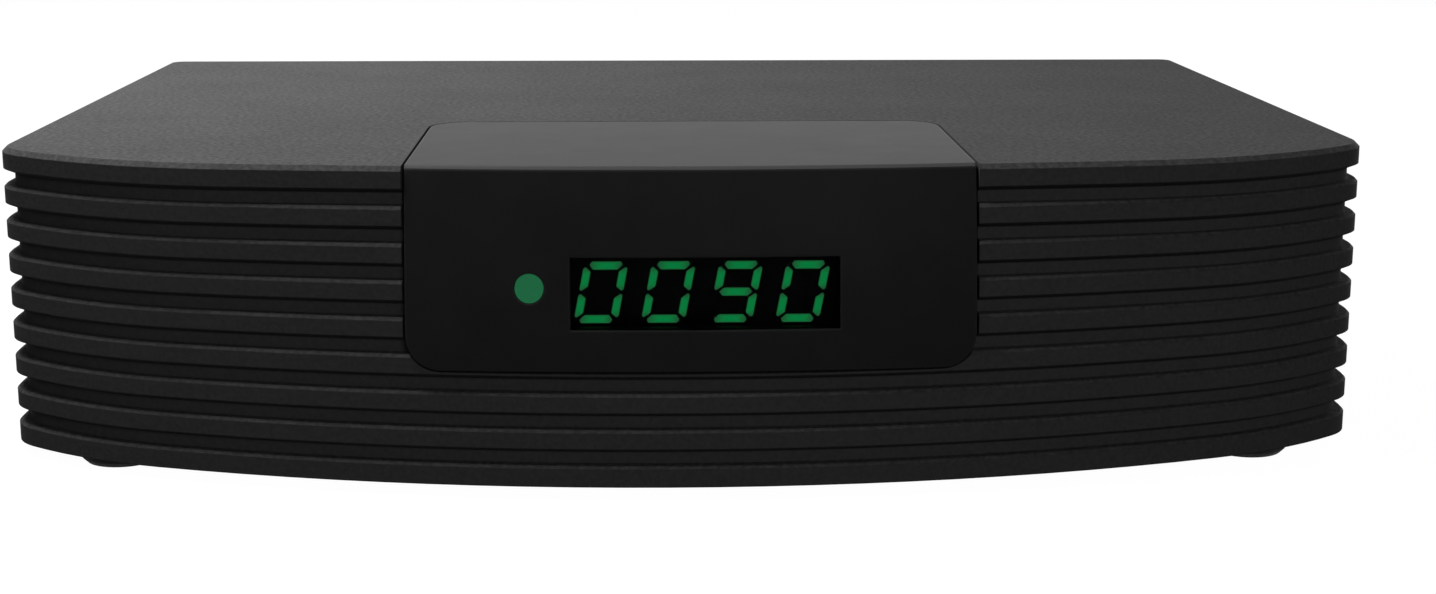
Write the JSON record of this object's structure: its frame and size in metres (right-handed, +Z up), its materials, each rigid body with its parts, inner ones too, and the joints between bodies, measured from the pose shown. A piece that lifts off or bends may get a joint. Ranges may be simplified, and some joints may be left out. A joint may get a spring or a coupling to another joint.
{
  "type": "digital tv receiver",
  "caption": "Flat charcoal set-top receiver with a ribbed case, a bowed front that leans back, a flush smooth fascia with a green digit display, and a row of sockets at the back.",
  "frame": {"origin": "centre of the bounding box's base, under the feet", "axes": "+X to the right as seen from the front, -Y out of the front, +Z up"},
  "size_m": [0.168, 0.135, 0.0383],
  "materials": {
    "case": "fine moulded grain, satin",
    "fascia": "smooth, semi-gloss",
    "lens": "polished, dark tinted",
    "indicator": "translucent green",
    "lit_segment": "lit green",
    "rear_steel": "zinc-plated sheet",
    "rubber": "matt",
    "screw_steel": "zinc-plated",
    "board": "solder mask",
    "black_plastic": "moulded",
    "rocker": "semi-gloss",
    "ivory_plastic": "moulded nylon",
    "ribbon": "flexible sheath",
    "tin_plate": "tinned sheet",
    "nickel": "bright nickel plate",
    "brass": "bright",
    "orange_plastic": "moulded",
    "thermal_pad": "soft",
    "sink_aluminium": "anodised",
    "capacitor_sleeve": "shrunk sleeve",
    "ferrite": "sintered"
  },
  "bodies": {
    "receiver": {"top_cover": "case", "bottom_case": "case", "fascia": "fascia", "display_lens": "lens", "indicator_lens": "indicator", "rear_panel": "rear_steel", "rubber_feet": "rubber", "case_screws": "screw_steel", "board_screws": "screw_steel", "main_board": "board", "display_board": "board", "display_module": "black_plastic", "display_digits": "lit_segment", "indicator_lamp": "lit_segment", "ir_receiver": "black_plastic", "display_connector": "ivory_plastic", "main_connector": "ivory_plastic", "ribbon": "ribbon", "tuner_can": "tin_plate", "aerial_socket": "nickel", "aerial_insulator": "ivory_plastic", "aerial_contact": "brass", "loop_plug": "nickel", "loop_insulator": "ivory_plastic", "loop_pin": "brass", "video_socket": "nickel", "video_tongue": "black_plastic", "serial_socket": "nickel", "serial_tongue": "ivory_plastic", "av_socket": "black_plastic", "av_contacts": "brass", "audio_jack": "orange_plastic", "audio_barrel": "nickel", "power_jack": "black_plastic", "power_pin": "nickel", "switch_body": "black_plastic", "processor": "black_plastic", "thermal_pad": "thermal_pad", "heat_sink": "sink_aluminium", "memory_chips": "black_plastic", "flash_chip": "black_plastic", "capacitors": "capacitor_sleeve", "coils": "ferrite", "crystal": "tin_plate"},
    "rocker": {"switch_rocker": "rocker"}
  },
  "joints": [
    {"name": "rocker_hinge", "type": "hinge", "parent": "receiver", "child": "rocker", "pos_m": [0.0743, 0.0541, 0.01988], "axis": [1, 0, 0], "range_deg": [0, 18]}
  ]
}
